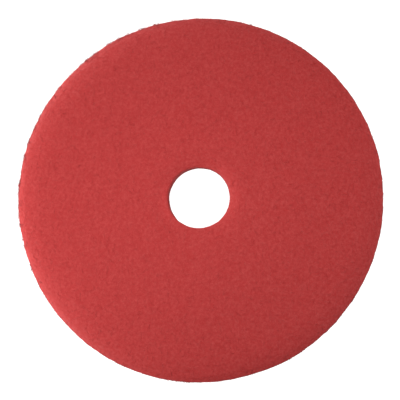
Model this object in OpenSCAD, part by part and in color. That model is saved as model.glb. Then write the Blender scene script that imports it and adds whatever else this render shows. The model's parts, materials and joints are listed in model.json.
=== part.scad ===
// Floor pad for a rotary floor machine: a thick disc of resin-bonded, non-woven fibre web with a
// centre hole. The web was sprayed with resin and abrasive from both sides, so it has two dense
// coated faces with a more open core between them, all bonded together. The disc is reversible.
// The axis is +Z. The origin is on that axis, in the plane of the lower face.

/* [Pad] */
// Outer diameter of the disc, a 19 inch pad
pad_d = 482.6; // [280:0.1:690]
// Thickness of the disc between its two flat faces, 1 inch
pad_t = 25.4; // [22:0.1:32]

/* [Centre hole] */
// Diameter of the hole for the pad driver's centring boss, 3 1/4 inch
hole_d = 82.55; // [70:0.05:110]

/* [Layers] */
// Depth of web that each face's coat of resin and abrasive reaches
coat_t = 5; // [3:0.1:6]

/* [Edges] */
// How far in from the rim each face starts to fall away
rim_fall_w = 32; // [24:0.5:36]
// How far each face has fallen where it meets the rim
rim_fall = 4; // [1.5:0.1:4.2]
// How far out from the hole each face starts to fall away
hole_fall_w = 22; // [18:0.5:26]
// How far each face has fallen where it meets the hole
hole_fall = 2.2; // [1:0.1:3]

/* [Hidden] */

$fn = 360;
pad_r = pad_d / 2;
hole_r = hole_d / 2;
flat_from_r = hole_r + hole_fall_w;
flat_to_r = pad_r - rim_fall_w;

coat_colour = [0.73, 0.25, 0.24];
core_colour = [0.78, 0.29, 0.28];

// Radius of the arc that starts level and falls by fall over a width of w
function fall_radius(w, fall) = (w * w + fall * fall) / (2 * fall);

// One end of the web's section, between the radius where its faces stop being flat and the cut
// edge. Its two faces fall away in arcs, which keep their centres at any depth into the web.
module falling_end(flat_r, edge_r, fall, depth) {
    w = abs(edge_r - flat_r);
    rho = fall_radius(w, fall);
    intersection() {
        translate([min(flat_r, edge_r), 0])
            square([w, pad_t]);
        translate([flat_r, pad_t - rho])
            circle(rho - depth);
        translate([flat_r, rho])
            circle(rho - depth);
    }
}

// Section of the web that lies deeper than depth below both of its faces
module web_section(depth) {
    translate([flat_from_r, depth])
        square([flat_to_r - flat_from_r, pad_t - 2 * depth]);
    falling_end(flat_from_r, hole_r, hole_fall, depth);
    falling_end(flat_to_r, pad_r, rim_fall, depth);
}

// The coated layer whose half of the web starts at height from_z
module coated_layer(from_z) {
    rotate_extrude()
        intersection() {
            difference() {
                web_section(0);
                web_section(coat_t);
            }
            translate([0, from_z])
                square([pad_r, pad_t / 2]);
        }
}

// The face that the pad driver's bristles or hooks grip
module upper_coated_face() {
    color(coat_colour)
        coated_layer(pad_t / 2);
}

// The springy middle of the web, which holds less resin
module open_core() {
    color(core_colour)
        rotate_extrude()
            web_section(coat_t);
}

// The face that works on the floor, the same as the upper one
module lower_coated_face() {
    color(coat_colour)
        coated_layer(0);
}

upper_coated_face();
open_core();
lower_coated_face();
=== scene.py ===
"""The looks of a floor pad for a rotary floor machine: a thick disc of red, non-woven fibre web.

The web is three closed layers with a lumpy, die-cut skin: two coated faces and an open core. Over them
lie separate crimped fibres, on both faces, along the cut rim and inside the hole, and short ones, most
of them drawn dark as painted shade, stand out of the cut walls. Everything is in metres, in the part's
own frame.
"""

import json
import math

import bpy
import numpy as np
from mathutils import Matrix, Vector, noise


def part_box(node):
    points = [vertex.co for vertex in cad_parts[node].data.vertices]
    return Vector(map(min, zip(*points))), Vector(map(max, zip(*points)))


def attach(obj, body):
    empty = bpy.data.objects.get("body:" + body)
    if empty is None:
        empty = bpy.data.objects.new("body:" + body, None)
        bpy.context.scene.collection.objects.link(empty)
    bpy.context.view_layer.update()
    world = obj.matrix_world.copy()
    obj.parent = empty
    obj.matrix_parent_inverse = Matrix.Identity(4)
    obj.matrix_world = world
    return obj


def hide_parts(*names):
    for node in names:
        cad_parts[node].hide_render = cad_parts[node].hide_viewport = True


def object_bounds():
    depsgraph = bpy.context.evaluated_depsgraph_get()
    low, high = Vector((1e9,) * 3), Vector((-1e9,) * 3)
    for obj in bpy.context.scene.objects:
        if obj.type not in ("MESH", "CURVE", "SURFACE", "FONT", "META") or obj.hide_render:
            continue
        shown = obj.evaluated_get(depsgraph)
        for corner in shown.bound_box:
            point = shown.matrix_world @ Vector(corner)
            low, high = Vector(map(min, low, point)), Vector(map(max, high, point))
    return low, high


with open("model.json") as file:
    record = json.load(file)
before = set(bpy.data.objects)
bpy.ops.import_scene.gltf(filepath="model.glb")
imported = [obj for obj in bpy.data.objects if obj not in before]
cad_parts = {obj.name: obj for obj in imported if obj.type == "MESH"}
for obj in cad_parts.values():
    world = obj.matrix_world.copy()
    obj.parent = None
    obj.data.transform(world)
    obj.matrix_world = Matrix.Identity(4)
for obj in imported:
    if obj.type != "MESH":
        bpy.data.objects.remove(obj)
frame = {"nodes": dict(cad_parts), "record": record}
cad_low, cad_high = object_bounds()
MM = 0.001
TURN = 2 * math.pi
rng = np.random.default_rng(19)

# ---------------------------------------------------------------------------- sizes from the frame

bore = next(m for m in frame["record"]["mounts"] if m["name"] == "centre_bore")
PAD_R = cad_high.x
PAD_T = cad_high.z
HOLE_R = bore["dims"]["r_mm"] * MM
COAT_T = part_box("open_core")[0].z

# How far in from the rim, and out from the hole, each face starts to fall, and how far it falls
FLAT_WITHIN = 0.01 * MM
RIM_WITHIN = 0.1 * MM
cad_face = np.array([v.co for v in frame["nodes"]["upper_coated_face"].data.vertices])
cad_radius = np.hypot(cad_face[:, 0], cad_face[:, 1])
is_flat = cad_face[:, 2] > PAD_T - FLAT_WITHIN
is_rim = cad_radius > PAD_R - RIM_WITHIN
flat_radius = cad_radius[is_flat]
RIM_FALL_W = PAD_R - flat_radius.max()
RIM_FALL = PAD_T - cad_face[is_rim, 2].max()
HOLE_FALL_W = flat_radius.min() - HOLE_R
HOLE_FALL = (PAD_T - bore["dims"]["length_mm"] * MM) / 2

LOFT = 0.6 * MM  # how far the web's skin lies inside the CAD's faces, to leave room for the fibres
RIM_LOFT = 0.15 * MM  # the same on the cut rim
HOLE_BULGE = 0.45 * MM  # how far the web swells into the hole, once it is cut
RIM_WALL_R = PAD_R - RIM_LOFT
HOLE_WALL_R = HOLE_R - HOLE_BULGE
RIM_CORNER = (10 * MM, 2 * MM)  # width and depth of the soft corners between a face and a cut wall
HOLE_CORNER = (2.5 * MM, 0.9 * MM)
RIM_CORNER_PARTS = (0.7, 0.45, 0.25, 0.1, 0)  # the skin's points on a corner, in widths from the wall
HOLE_CORNER_PARTS = (0, 0.15, 0.4, 0.7)


def fallen(x, width, depth):
    """How far an arc that starts level, and falls depth over width, has fallen x past its start."""
    rho = (width**2 + depth**2) / (2 * depth)
    x = np.clip(x, 0, width)
    return rho - np.sqrt(rho**2 - x**2)


def face_fall(r):
    """How far each face lies below its flat level at radius r, apart from its soft corners."""
    at_rim = fallen(r - (PAD_R - RIM_FALL_W), RIM_FALL_W, RIM_FALL)
    at_hole = fallen(HOLE_R + HOLE_FALL_W - r, HOLE_FALL_W, HOLE_FALL)
    return at_rim + at_hole


def skin_fall(r):
    """How far each face lies below its flat level at radius r, soft corners and all."""
    at_rim = fallen(r - (RIM_WALL_R - RIM_CORNER[0]), *RIM_CORNER)
    at_hole = fallen(HOLE_WALL_R + HOLE_CORNER[0] - r, *HOLE_CORNER)
    return face_fall(r) + at_rim + at_hole


WAVER = 0.6 * MM  # size of the longest waves in the cut edges
WAVER_LENGTH = 480 * MM  # their length; each octave's waves are half as long as the last one's
WAVER_OCTAVES = 7
WAVER_ROUGHNESS = 0.15  # the higher it is, the faster the octaves get smaller
WAVER_REACH = 15 * MM  # how deep in the web the waves die away
DIP = 4 * MM  # how much lower the upper face is on one side of the hole, and higher on the other
DIP_TOWARDS = math.radians(35)
DIP_POWER = 3  # how steeply the dip fades away from the hole


def relax(points):
    """Moves points, an array of (..., 3), as the web does after the die has cut it.

    The cut edges aren't true circles, and the punch has drawn the upper face down on one side of the hole.
    """
    radius = np.hypot(points[..., 0], points[..., 1])
    depth = np.minimum(radius - HOLE_R, PAD_R - radius)
    near = depth < WAVER_REACH
    moved = points.copy()
    wave = np.array(
        [noise.fractal(p, WAVER_ROUGHNESS, 2.0, WAVER_OCTAVES) for p in points[near] / WAVER_LENGTH]
    )
    wave *= WAVER * np.clip(1 - depth[near] / WAVER_REACH, 0, 1) / radius[near]
    moved[near, :2] += points[near, :2] * wave[:, None]
    around = np.arctan2(points[..., 1], points[..., 0])
    by_hole = np.clip(1 - (radius - HOLE_R) / HOLE_FALL_W, 0, 1) ** DIP_POWER
    moved[..., 2] -= DIP * by_hole * np.cos(around - DIP_TOWARDS) * points[..., 2] / PAD_T
    return moved


# ---------------------------------------------------------------------------- materials

# Shades of the coated web, the core and the loose fibres, as places on a ramp from dark to light. The
# coat's and the fibres' are the same three reds.
DARK_RED = (0.387, 0.013, 0.012)
MIDDLE_RED = (0.414, 0.020, 0.019)
LIGHT_RED = (0.447, 0.033, 0.031)
PAINTED_SHADE_RED = (0.12, 0.011, 0.010)  # near black, for the darkest fibres, most of them stray ones at the cut walls: painted shade, which makes them look shaded
COAT_SHADES = ((0.35, DARK_RED), (0.55, MIDDLE_RED), (0.75, LIGHT_RED))
CORE_SHADES = ((0.35, (0.39, 0.018, 0.017)), (0.55, (0.44, 0.030, 0.028)), (0.75, (0.49, 0.048, 0.045)))
FIBRE_SHADES = ((0.0, PAINTED_SHADE_RED), (0.15, DARK_RED), (0.6, MIDDLE_RED), (1.0, LIGHT_RED))
COAT_GONE = 3 * MM  # the coat's colour is gone this much deeper than the coat
COAT_FULL = 2 * MM  # and full this much less deep


def add_node(tree, kind, inputs=None, **settings):
    """A new node with those settings, and with those inputs set to a value or linked to a socket."""
    node = tree.nodes.new(kind)
    for name, value in settings.items():
        setattr(node, name, value)
    for name, value in (inputs or {}).items():
        if isinstance(value, bpy.types.NodeSocket):
            tree.links.new(value, node.inputs[name])
        else:
            node.inputs[name].default_value = value
    return node


def maths(tree, operation, first, second):
    """The result of a sum on two values or sockets."""
    return add_node(tree, "ShaderNodeMath", {0: first, 1: second}, operation=operation).outputs[0]


def shades(tree, factor, stops):
    """The colour that a ramp through these stops gives for factor."""
    node = add_node(tree, "ShaderNodeValToRGB", {"Fac": factor})
    ramp = node.color_ramp
    while len(ramp.elements) < len(stops):
        ramp.elements.new(1.0)
    for element, (position, colour) in zip(ramp.elements, stops):
        element.position = position
        element.color = (*colour, 1)
    return node.outputs["Color"]


def depth_colour(tree, place, coat, core):
    """The coat's colour near the faces, which gives way to the core's deeper in the web."""
    height = add_node(tree, "ShaderNodeSeparateXYZ", {"Vector": place}).outputs["Z"]
    from_middle = maths(tree, "ABSOLUTE", maths(tree, "SUBTRACT", height, PAD_T / 2), 0)
    coated = add_node(
        tree,
        "ShaderNodeMapRange",
        {
            "Value": from_middle,
            "From Min": PAD_T / 2 - COAT_T - COAT_GONE,
            "From Max": PAD_T / 2 - COAT_T + COAT_FULL,
        },
    ).outputs["Result"]
    mix = add_node(tree, "ShaderNodeMix", {"Factor": coated}, data_type="RGBA")
    tree.links.new(core, mix.inputs["A"])
    tree.links.new(coat, mix.inputs["B"])
    return mix.outputs["Result"]


def new_material(name, roughness):
    """A material with a resin-coated fibre's finish, its node tree and its shader."""
    material = bpy.data.materials.new(name)
    material.use_nodes = True
    tree = material.node_tree
    shader = tree.nodes["Principled BSDF"]
    shader.inputs["Roughness"].default_value = roughness
    shader.inputs["Specular IOR Level"].default_value = 0.4
    shader.inputs["Sheen Weight"].default_value = 0.06
    shader.inputs["Sheen Roughness"].default_value = 0.5
    shader.inputs["Sheen Tint"].default_value = (1.0, 0.75, 0.75, 1)
    return material, tree, shader


def make_fibre_material():
    """Each fibre has a shade of its own, and its coat of resin varies along it."""
    material, tree, shader = new_material("coated_fibre", roughness=0.6)
    own = add_node(tree, "ShaderNodeAttribute", attribute_name="shade").outputs["Fac"]
    place = add_node(tree, "ShaderNodeTexCoord").outputs["Object"]
    coat = add_node(
        tree, "ShaderNodeTexNoise", {"Vector": place, "Scale": 420.0, "Detail": 2.0}
    ).outputs["Fac"]
    factor = maths(tree, "SUBTRACT", maths(tree, "ADD", own, coat), 0.5)
    tree.links.new(shades(tree, factor, FIBRE_SHADES), shader.inputs["Base Color"])
    return material


TANGLE_SCALES = (150, 190, 230, 270, 310)  # waves a metre in each layer of matted fibres
TANGLE_WIDTH = 0.03  # how far from a layer's middle level a fibre reaches
TANGLE_TONE_AND_GAP_SHADE = 0.1  # how much further up the ramp of shades its fibres are than what is between them: partly their own tone, partly painted shade in the hollows between them
TANGLE_HEIGHT = 0.35  # the heights of the tangle and of the mottle in the web's relief
MOTTLE_HEIGHT = 0.8


def tangle(tree, place):
    """Height, from 0 to 1, of a mat of crimped fibres, which follow the level lines of layers of noise."""
    height = 0.0
    for scale in TANGLE_SCALES:
        level = add_node(
            tree,
            "ShaderNodeTexNoise",
            {"Vector": place, "W": scale * 0.1, "Scale": float(scale), "Detail": 1.0},
            noise_dimensions="4D",
        ).outputs["Fac"]
        away = maths(tree, "ABSOLUTE", maths(tree, "SUBTRACT", level, 0.5), 0)
        fibre = add_node(
            tree,
            "ShaderNodeMapRange",
            {"Value": away, "From Max": TANGLE_WIDTH, "To Min": 1.0, "To Max": 0.0},
            interpolation_type="SMOOTHSTEP",
        ).outputs["Result"]
        height = maths(tree, "MAXIMUM", fibre, height)
    return height


def make_web_material():
    """The matted mass under the loose fibres: mottled, tangled and darker between its fibres, partly as
    painted shade.
    """
    material, tree, shader = new_material("bonded_web", roughness=0.7)
    place = add_node(tree, "ShaderNodeTexCoord").outputs["Object"]
    flattened = add_node(
        tree, "ShaderNodeVectorMath", {0: place, 1: (1.0, 1.0, 3.0)}, operation="MULTIPLY"
    ).outputs["Vector"]
    mottle = add_node(
        tree,
        "ShaderNodeTexNoise",
        {"Vector": flattened, "Scale": 290.0, "Detail": 4.0, "Roughness": 0.65},
    ).outputs["Fac"]
    fibres = tangle(tree, flattened)
    # The tangle's fibres are made lighter and the hollows between them darker: partly their own tone,
    # partly painted shade.
    shade = maths(tree, "ADD", mottle, maths(tree, "MULTIPLY", fibres, TANGLE_TONE_AND_GAP_SHADE))
    colour = depth_colour(
        tree, place, shades(tree, shade, COAT_SHADES), shades(tree, shade, CORE_SHADES)
    )
    tree.links.new(colour, shader.inputs["Base Color"])
    roughness = add_node(
        tree,
        "ShaderNodeMapRange",
        {"Value": mottle, "From Min": 0.3, "From Max": 0.7, "To Min": 0.8, "To Max": 0.6},
    ).outputs["Result"]
    tree.links.new(roughness, shader.inputs["Roughness"])
    mottle_height = maths(tree, "MULTIPLY", mottle, MOTTLE_HEIGHT)
    tangle_height = maths(tree, "MULTIPLY", fibres, TANGLE_HEIGHT)
    height = maths(tree, "ADD", mottle_height, tangle_height)
    bump = add_node(
        tree, "ShaderNodeBump", {"Height": height, "Strength": 0.28, "Distance": 1 * MM}
    ).outputs["Normal"]
    tree.links.new(bump, shader.inputs["Normal"])
    return material


fibre_material = make_fibre_material()
web_material = make_web_material()

# ---------------------------------------------------------------------------- the three web layers

WEB_GRID = 1.5 * MM  # size of the triangles of the faces
WALL_GRID = 1.2 * MM  # size of those of the cut walls
HIDDEN_GRID = 8 * MM  # size of those between two layers
JOIN_ANGLE = math.radians(65)  # sharper than any bend of the skin, but not than where two layers meet


def wall_line(radius, from_z, to_z):
    """Section of a cut wall, from one height to another, as (radius, height, grid) points."""
    steps = max(2, round(abs(to_z - from_z) / WALL_GRID))
    return [(radius, z, WALL_GRID) for z in np.linspace(from_z, to_z, steps + 1)]


def skin_line():
    """Section of the upper face, from the hole's wall to the rim's, with more points on its corners."""
    hole_radii = [HOLE_WALL_R + HOLE_CORNER[0] * part for part in HOLE_CORNER_PARTS]
    rim_radii = [RIM_WALL_R - RIM_CORNER[0] * part for part in RIM_CORNER_PARTS]
    steps = round((rim_radii[0] - hole_radii[-1]) / WEB_GRID)
    middle = np.linspace(hole_radii[-1], rim_radii[0], steps + 1)[1:-1]
    return [
        (r, PAD_T - LOFT - float(skin_fall(r)), WEB_GRID)
        for r in (*hole_radii, *middle, *rim_radii)
    ]


def join_line(from_r, to_r):
    """Section of the surface between a coated layer and the core, apart from its two ends."""
    steps = round(abs(to_r - from_r) / HIDDEN_GRID)
    return [
        (r, PAD_T - COAT_T - float(face_fall(r)), HIDDEN_GRID)
        for r in np.linspace(from_r, to_r, steps + 1)[1:-1]
    ]


hole_join_z = PAD_T - COAT_T - float(face_fall(HOLE_R))
rim_join_z = PAD_T - COAT_T - float(face_fall(PAD_R))

skin = skin_line()
upper_section = [
    *wall_line(HOLE_WALL_R, hole_join_z, skin[0][1])[:-1],
    *skin,
    *wall_line(RIM_WALL_R, skin[-1][1], rim_join_z)[1:],
    *join_line(RIM_WALL_R, HOLE_WALL_R),
]
core_section = [
    *wall_line(HOLE_WALL_R, PAD_T - hole_join_z, hole_join_z),
    *join_line(HOLE_WALL_R, RIM_WALL_R),
    *wall_line(RIM_WALL_R, rim_join_z, PAD_T - rim_join_z),
    *[(r, PAD_T - z, grid) for r, z, grid in join_line(RIM_WALL_R, HOLE_WALL_R)],
]
lower_section = [(r, PAD_T - z, grid) for r, z, grid in reversed(upper_section)]

SKIN_DEPTH = 2.4 * MM  # how deep in the web the lumps of its skin reach
LUMPS = ((14, 0.05), (5, 0.08), (2.8, 0.12))  # length and height, in mm, of its swells, clumps and pores


def outward_normal(r, z):
    """Which way the pad's skin faces near a point of its section, as (radial, axial) parts."""
    from_wall = min(r - HOLE_WALL_R, RIM_WALL_R - r)
    from_face = min(z, PAD_T - z) - float(face_fall(r))
    side = -1 if r - HOLE_WALL_R < RIM_WALL_R - r else 1
    radial = side * max(0.0, 1 - from_wall / SKIN_DEPTH)
    axial = math.copysign(max(0.0, 1 - from_face / SKIN_DEPTH), z - PAD_T / 2)
    length = math.hypot(radial, axial) or 1.0
    return radial / length, axial / length


def lumpiness(point):
    """How far the bonded web stands out at a point of its skin."""
    return sum(height * noise.noise(point / (length * MM)) for length, height in LUMPS) * MM


def stitch(first, count, next_first, next_count):
    """Triangles that fill the band between two rings of vertices."""
    faces = []
    i = j = 0
    while i < count or j < next_count:
        a, b = first + i % count, next_first + j % next_count
        if j >= next_count or (i < count and (i + 1) / count <= (j + 1) / next_count):
            faces.append((a, first + (i + 1) % count, b))
            i += 1
        else:
            faces.append((a, next_first + (j + 1) % next_count, b))
            j += 1
    return faces


def make_layer(name, section, node):
    """A closed ring of web from its section, with its skin made lumpy."""
    points, faces, firsts, counts = [], [], [], []
    for k, (r, z, grid) in enumerate(section):
        count = round(TURN * r / grid)
        firsts.append(len(points))
        counts.append(count)
        radial, axial = outward_normal(r, z)
        for i in range(count):
            angle = TURN * (i + 0.5 * (k % 2)) / count
            outward = Vector((math.cos(angle), math.sin(angle), 0))
            point = outward * r
            point.z = z
            point += (outward * radial + Vector((0, 0, axial))) * lumpiness(point)
            points.append(point)
    for k in range(len(section)):
        n = (k + 1) % len(section)
        faces += stitch(firsts[k], counts[k], firsts[n], counts[n])
    mesh = bpy.data.meshes.new(name)
    mesh.from_pydata(relax(np.array(points)), [], faces)
    mesh.materials.append(web_material)
    mesh.shade_smooth()
    mesh.set_sharp_from_angle(angle=JOIN_ANGLE)
    layer = bpy.data.objects.new(name, mesh)
    bpy.context.scene.collection.objects.link(layer)
    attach(layer, "root")
    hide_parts(node)


make_layer("upper_web", upper_section, "upper_coated_face")
make_layer("core_web", core_section, "open_core")
make_layer("lower_web", lower_section, "lower_coated_face")

# ---------------------------------------------------------------------------- the fibres

FIBRE_R = 0.15 * MM
FIBRE_STEP = 1.5 * MM  # from one ring of a fibre to the next
FIBRE_RINGS = 9
FEWEST_RINGS = 3  # that a fibre may be cut down to
SIDES = 3
THICKNESSES = (0.75, 1.3)  # of the thinnest and the thickest fibre, in FIBRE_R
END_TAPER = 0.5
OWN_SHADES = (0.3, 0.9)  # where the darkest and the lightest fibre are on the ramp of shades
CRIMP_LENGTHS = (6 * MM, 14 * MM)  # of the shortest and the longest waves that fibres bend in
CRIMP_SWINGS = (0.4, 1.3)  # how far the waves turn a fibre from its heading, in radians
BEND = 60  # how much fibres bend to one side besides, in radians a metre
SWELL_LENGTHS = (8 * MM, 20 * MM)  # of the waves in which fibres rise and sink in the web
SWELL_HEIGHT = 0.12 * MM

FACE_FIBRES = 10000
PIECES_PER_FACE = 4
GOLDEN_TURN = math.pi * (3 - math.sqrt(5))
FACE_SCATTER = 1.5 * MM  # how far the fibres of a face lie from an even spread
FACE_LEVELS = (-0.75 * MM, -0.59 * MM)  # of the lowest and the highest fibre, from the soft-cornered face
FACE_REACHES = (-0.6 * MM, 0.5 * MM)  # how far past the cut edge the fibres of a face end

WALL_SLANT = 0.18  # how far from level the fibres of a cut wall lie, in radians
WALL_CRIMP = 0.35  # how much of the crimp they show
WALL_LEVELS = (-0.35 * MM, 0.1 * MM)
WALL_DENSITY = 1.5 * FACE_FIBRES / (math.pi * (PAD_R**2 - HOLE_R**2))  # fibres a square metre

STRAY_RINGS = 5
STRAY_STEP = 0.8 * MM
STRAY_ROOT = 0.6 * MM  # how deep in the web a stray fibre is rooted
STRAY_RISE = 2.8 * MM  # the furthest that one stands out
# Stray fibres lie low on the ramp of shades, many at its near-black end, which is painted shade.
STRAY_SHADES = (-0.05, 0.4)
STRAY_ARCHES = (0.5 * math.pi, math.pi)  # from a free end to a loop with both ends in the web
TUFT_FIBRES = 8
TUFT_SPREAD = 1 * MM
TUFT_LEAST = 0.4  # the least that a tuft stands out, in average heights
TUFT_SHARES = (0.5, 1.0)  # how much of its tuft's height a fibre has
RIM_TUFTS = 300
RIM_STRAYS = 260
HOLE_STRAYS = 40
TORN_SIDE = np.radians([85, 150, 225])  # from, mostly and to where the die tore the web, not cut it clean


def crimped_lines(count, heading, crimp, rings=FIBRE_RINGS, step=FIBRE_STEP):
    """Plane curves of crimped fibres, as arrays of (count, rings), which start near 0, 0."""
    steps = np.arange(rings) * step
    wave = rng.uniform(*CRIMP_LENGTHS, (count, 1))
    phase = rng.uniform(0, TURN, (count, 1))
    swing = rng.uniform(*CRIMP_SWINGS, (count, 1))
    bend = rng.normal(0, BEND, (count, 1))
    angle = heading[:, None] + (swing * np.sin(TURN * steps / wave + phase) + bend * steps) * crimp
    along = np.cumsum(np.cos(angle), axis=1) * step
    across = np.cumsum(np.sin(angle), axis=1) * step
    return along, across


def undulation(count, low, high):
    """How far each ring of each fibre lies above the surface that the fibres follow."""
    level = rng.uniform(low, high, (count, 1))
    wave = rng.uniform(*SWELL_LENGTHS, (count, 1))
    phase = rng.uniform(0, TURN, (count, 1))
    steps = np.arange(FIBRE_RINGS) * FIBRE_STEP
    return level + SWELL_HEIGHT * np.sin(TURN * steps / wave + phase)


def cut_off(inside):
    """Which rings of each fibre are kept: those before the first one outside, if they are enough."""
    kept = np.logical_and.accumulate(inside, axis=1)
    return kept & (kept.sum(axis=1, keepdims=True) >= FEWEST_RINGS)


def round_points(radius, around, z):
    """Points at these distances from the axis, angles round it and heights."""
    return np.stack([radius * np.cos(around), radius * np.sin(around), z], axis=2)


def make_fibres(name, points, up, kept, own_shades=OWN_SHADES):
    """One mesh of closed thin tubes along points, an array of (fibres, rings, 3), where kept says."""
    count, rings, _ = points.shape
    tangent = np.gradient(points, axis=1)
    tangent /= np.linalg.norm(tangent, axis=2, keepdims=True)
    side = np.cross(tangent, up)
    side /= np.linalg.norm(side, axis=2, keepdims=True)
    top = np.cross(side, tangent)

    first = kept & ~np.roll(kept, 1, axis=1)
    first[:, 0] = kept[:, 0]
    last = kept & ~np.roll(kept, -1, axis=1)
    last[:, -1] = kept[:, -1]
    taper = np.where(first | last, END_TAPER, 1.0)
    radius = FIBRE_R * rng.uniform(*THICKNESSES, (count, 1)) * taper

    turn = TURN * np.arange(SIDES) / SIDES
    around = side[:, :, None, :] * np.cos(turn)[:, None] + top[:, :, None, :] * np.sin(turn)[:, None]
    vertices = (relax(points)[:, :, None, :] + around * radius[:, :, None, None])[kept]

    # Rings that are kept are numbered. Each corner of a face is a ring's number and a side's number.
    number = np.full(kept.shape, -1)
    number[kept] = np.arange(kept.sum())
    joined = kept[:, :-1] & kept[:, 1:]
    here, there = number[:, :-1][joined], number[:, 1:][joined]
    corner_rings, corner_sides = [], []
    for s in range(SIDES):
        corner_rings.append(np.stack([there, there, here, here], axis=1).ravel())
        corner_sides.append(np.tile([s, s + 1, s + 1, s], len(here)))
    for end, order in ((number[first], range(SIDES)), (number[last], reversed(range(SIDES)))):
        corner_rings.append(np.repeat(end, SIDES))
        corner_sides.append(np.tile(list(order), len(end)))
    corner_rings = np.concatenate(corner_rings)
    corner_sides = np.concatenate(corner_sides)
    quads, ends = SIDES * len(here), 2 * int(first.sum())
    sizes = np.concatenate([np.full(quads, 4), np.full(ends, SIDES)])

    mesh = bpy.data.meshes.new(name)
    mesh.vertices.add(SIDES * len(vertices))
    mesh.vertices.foreach_set("co", vertices.astype(np.float32).ravel())
    mesh.loops.add(len(corner_rings))
    vertex_index = corner_rings * SIDES + corner_sides % SIDES
    mesh.loops.foreach_set("vertex_index", vertex_index.astype(np.int32))
    mesh.polygons.add(len(sizes))
    mesh.polygons.foreach_set("loop_start", (np.cumsum(sizes) - sizes).astype(np.int32))

    # A map for baking: a cell for each fibre, along it one way and round its sides the other. Every other
    # side is set a little further along, so that the ends have an area too.
    margin, gap = 0.2, 0.5
    columns = math.ceil(math.sqrt(count))
    fibre, ring = (grid[kept][corner_rings] for grid in np.indices(kept.shape))
    u = (fibre % columns + (ring + margin + margin * (corner_sides % 2)) / rings) / columns
    v = (fibre // columns + (corner_sides + margin) / (SIDES + gap)) / columns
    uv_layer = mesh.uv_layers.new(name="OFBake")
    uv_layer.data.foreach_set("uv", np.stack([u, v], axis=1).astype(np.float32).ravel())

    shade = np.broadcast_to(rng.uniform(*own_shades, (count, 1)), kept.shape)[kept]
    attribute = mesh.attributes.new("shade", "FLOAT", "POINT")
    attribute.data.foreach_set("value", np.repeat(shade, SIDES).astype(np.float32))
    mesh.materials.append(fibre_material)
    mesh.update(calc_edges=True)
    mesh.shade_smooth()
    fibres = bpy.data.objects.new(name, mesh)
    bpy.context.scene.collection.objects.link(fibres)
    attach(fibres, "root")


def face_fibres(name, is_upper):
    """Fibres that lie on one face and round its corners, cut off where the die cut the web."""
    number = np.arange(FACE_FIBRES)
    r = np.sqrt(HOLE_R**2 + (PAD_R**2 - HOLE_R**2) * (number + 0.5) / FACE_FIBRES)
    start = rng.normal(0, FACE_SCATTER, (2, FACE_FIBRES))
    start += r * np.array([np.cos(number * GOLDEN_TURN), np.sin(number * GOLDEN_TURN)])
    along, across = crimped_lines(FACE_FIBRES, rng.uniform(0, TURN, FACE_FIBRES), 1.0)
    x = start[0][:, None] + along - along.mean(axis=1, keepdims=True)
    y = start[1][:, None] + across - across.mean(axis=1, keepdims=True)
    radius = np.hypot(x, y)
    reach = rng.uniform(*FACE_REACHES, (FACE_FIBRES, 1))
    kept = cut_off((radius > HOLE_WALL_R - reach) & (radius < PAD_R + reach))
    z = PAD_T - skin_fall(radius) + undulation(FACE_FIBRES, *FACE_LEVELS)
    points = np.stack([x, y, z if is_upper else PAD_T - z], axis=2)
    for k in range(PIECES_PER_FACE):
        part = slice(k, None, PIECES_PER_FACE)
        make_fibres(f"{name}_{k + 1}", points[part], np.array([0, 0, 1.0]), kept[part])


def wall_fibres(name, radius, outward, foot):
    """Fibres that lie along a cut wall, most of them nearly level, as they lie in the web."""
    count = round(WALL_DENSITY * TURN * radius * (PAD_T - 2 * foot))
    heading = rng.choice([0, math.pi], count) + rng.normal(0, WALL_SLANT, count)
    along, across = crimped_lines(count, heading, WALL_CRIMP)
    z = rng.uniform(foot, PAD_T - foot, count)[:, None] + across
    kept = cut_off((z > foot) & (z < PAD_T - foot))
    out = undulation(count, *WALL_LEVELS)
    around = rng.uniform(0, TURN, (count, 1)) + along / radius
    points = round_points(radius + outward * out, around, z)
    up = round_points(outward, around, np.zeros_like(z))
    make_fibres(name, points, up, kept)


def stray_fibres(name, tufts, height, corner, levels):
    """Short fibres, most drawn dark as painted shade, that stand out of a cut wall and its corners, as
    free ends and as low loops.

    tufts holds each tuft's place round the wall. height is how far a tuft stands out on average. corner is
    the corner's part of the skin's section, from the wall inwards. levels says between which two heights
    over the pad's middle the fibres are rooted, and as many are as far under it.
    """
    corner_r, corner_z, _ = np.transpose(corner)
    outward = 1 if corner_r[0] > corner_r[-1] else -1
    count = len(tufts) * TUFT_FIBRES
    along, across = crimped_lines(count, rng.uniform(0, TURN, count), 1.0, STRAY_RINGS, STRAY_STEP)
    part = np.linspace(0, 1, STRAY_RINGS)
    beyond_least = rng.exponential((1 - TUFT_LEAST) * height, len(tufts))
    tuft_rise = (TUFT_LEAST * height + beyond_least).clip(0, STRAY_RISE)
    rise = np.repeat(tuft_rise, TUFT_FIBRES)[:, None] * rng.uniform(*TUFT_SHARES, (count, 1))
    arch = np.sin(part * rng.uniform(*STRAY_ARCHES, (count, 1)))
    out = (rise + STRAY_ROOT) * arch - STRAY_ROOT
    tuft_level = rng.uniform(*levels, len(tufts)) * rng.choice([-1, 1], len(tufts))
    level = np.repeat(tuft_level, TUFT_FIBRES)[:, None] + rng.normal(0, TUFT_SPREAD, (count, 1)) + across
    kept = cut_off(abs(level) < corner_z[-1] - PAD_T / 2)
    r = np.interp(abs(level), corner_z - PAD_T / 2, corner_r) + outward * out
    along = along + rng.normal(0, TUFT_SPREAD, (count, 1))
    around = np.repeat(tufts, TUFT_FIBRES)[:, None] + along / corner_r[0]
    points = round_points(r, around, PAD_T / 2 + level)
    make_fibres(name, points, np.array([0, 0, 1.0]), kept, STRAY_SHADES)


face_fibres("upper_fibres", True)
face_fibres("lower_fibres", False)

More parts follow.
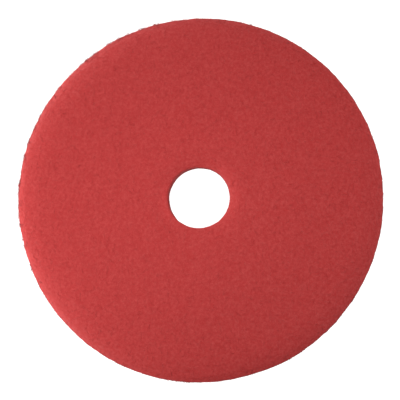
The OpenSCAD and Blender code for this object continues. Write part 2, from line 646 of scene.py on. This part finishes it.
# Height at which the fibres of each cut wall start, where its soft corner ends
RIM_FOOT = RIM_FALL + RIM_CORNER[1]
HOLE_FOOT = HOLE_FALL + HOLE_CORNER[1]
wall_fibres("rim_fibres", PAD_R, 1, RIM_FOOT)
wall_fibres("hole_fibres", HOLE_WALL_R, -1, HOLE_FOOT)

rim_corner = skin[::-1][: len(RIM_CORNER_PARTS)]
hole_corner = skin[: len(HOLE_CORNER_PARTS)]
torn = rng.triangular(*TORN_SIDE, RIM_TUFTS)
stray_fibres("rim_tufts", torn, height=2 * MM, corner=rim_corner, levels=(0, 7 * MM))
round_rim = rng.uniform(0, TURN, RIM_STRAYS)
stray_fibres("rim_strays", round_rim, height=0.6 * MM, corner=rim_corner, levels=(0, 7.6 * MM))
round_hole = rng.uniform(0, TURN, HOLE_STRAYS)
stray_fibres("hole_strays", round_hole, height=0.3 * MM, corner=hole_corner, levels=(0, 10 * MM))

# ---------------------------------------------------------------------------- floor, light, camera


def make_floor():
    """A plain white floor, which lights itself and leaves the light on the pad to the surround."""
    mesh = bpy.data.meshes.new("floor")
    reach, sides = 30.0, 96
    ring = [
        (reach * math.cos(TURN * i / sides), reach * math.sin(TURN * i / sides), 0)
        for i in range(sides)
    ]
    mesh.from_pydata(ring, [], [range(sides)])
    material = bpy.data.materials.new("white_floor")
    material.use_nodes = True
    shader = material.node_tree.nodes["Principled BSDF"]
    shader.inputs["Base Color"].default_value = (0.3, 0.3, 0.3, 1)
    shader.inputs["Roughness"].default_value = 1.0
    shader.inputs["Specular IOR Level"].default_value = 0.0
    shader.inputs["Emission Color"].default_value = (1, 1, 1, 1)
    shader.inputs["Emission Strength"].default_value = 1.0
    mesh.materials.append(material)
    floor = bpy.data.objects.new("floor", mesh)
    bpy.context.scene.collection.objects.link(floor)
    floor.visible_diffuse = False
    floor.visible_glossy = False


HORIZON_STARTS = (-0.1, -0.05)  # sines of the elevations between which the light from below gives way
HORIZON_ENDS = (0.15, 0.25)  # and those between which the horizon's does


def make_world(below, horizon, above):
    """A white surround, with a strength of its own below the horizon, near it and above it."""
    world = bpy.data.worlds.new("surround")
    bpy.context.scene.world = world
    world.use_nodes = True
    tree = world.node_tree
    direction = add_node(tree, "ShaderNodeTexCoord").outputs["Generated"]
    height = add_node(tree, "ShaderNodeSeparateXYZ", {"Vector": direction}).outputs["Z"]
    steps = []
    for elevations, strengths in (
        (HORIZON_STARTS, (below, horizon)),
        (HORIZON_ENDS, (0.0, above - horizon)),
    ):
        step = add_node(tree, "ShaderNodeMapRange", {"Value": height})
        step.inputs["From Min"].default_value, step.inputs["From Max"].default_value = elevations
        step.inputs["To Min"].default_value, step.inputs["To Max"].default_value = strengths
        steps.append(step.outputs["Result"])
    tree.links.new(maths(tree, "ADD", *steps), tree.nodes["Background"].inputs["Strength"])
    tree.nodes["Background"].inputs["Color"].default_value = (1, 1, 1, 1)


SOFT_BOXES = (  # name, azimuth, elevation, distance, size, watts
    ("key_front", 210, 20, 0.65, 0.3, 3.2),
    ("key_left", 165, 12, 0.65, 0.3, 1.4),
    ("key_back", 135, 12, 0.65, 0.3, 1.8),
    ("fill_back", 90, 35, 1.2, 0.5, 5.1),
    ("fill_right", 15, 20, 0.65, 0.3, 0.6),
    ("fill_front", 330, 55, 1.2, 0.5, 6.2),
    ("top", 0, 90, 0.25, 0.1, 0.13),
)


def make_soft_box(name, azimuth, elevation, distance, size, watts):
    """A square area light aimed at the pad's middle. The azimuth is from +X towards +Y, in degrees."""
    azimuth, elevation = math.radians(azimuth), math.radians(elevation)
    towards = Vector(
        (
            math.cos(elevation) * math.cos(azimuth),
            math.cos(elevation) * math.sin(azimuth),
            math.sin(elevation),
        )
    )
    data = bpy.data.lights.new(name, "AREA")
    data.shape = "SQUARE"
    data.size = size
    data.energy = watts
    light = bpy.data.objects.new(name, data)
    light.location = towards * distance
    light.rotation_mode = "QUATERNION"
    light.rotation_quaternion = towards.to_track_quat("Z", "Y")
    light.visible_camera = False
    bpy.context.scene.collection.objects.link(light)


def make_camera():
    """Nearly straight above the pad, leaning to the lower right, with the part's +Y up."""
    tilt, lean = math.radians(8.0), math.radians(-51)
    distance, lens = 1.81, 124.12
    aim = Vector((2.4 * MM, -3.4 * MM, PAD_T))
    back = Vector(
        (math.sin(tilt) * math.cos(lean), math.sin(tilt) * math.sin(lean), math.cos(tilt))
    )
    right = Vector((0, 1, 0)).cross(back).normalized()
    up = back.cross(right)
    data = bpy.data.cameras.new("camera")
    data.lens = lens
    camera = bpy.data.objects.new("camera", data)
    turn = Matrix((right, up, back)).transposed().to_4x4()
    camera.matrix_world = Matrix.Translation(aim + back * distance) @ turn
    bpy.context.scene.collection.objects.link(camera)
    bpy.context.scene.camera = camera


make_floor()
make_world(below=0.3, horizon=1.05, above=0.0)
for soft_box in SOFT_BOXES:
    make_soft_box(*soft_box)
make_camera()
bpy.context.scene.view_settings.view_transform = "Standard"
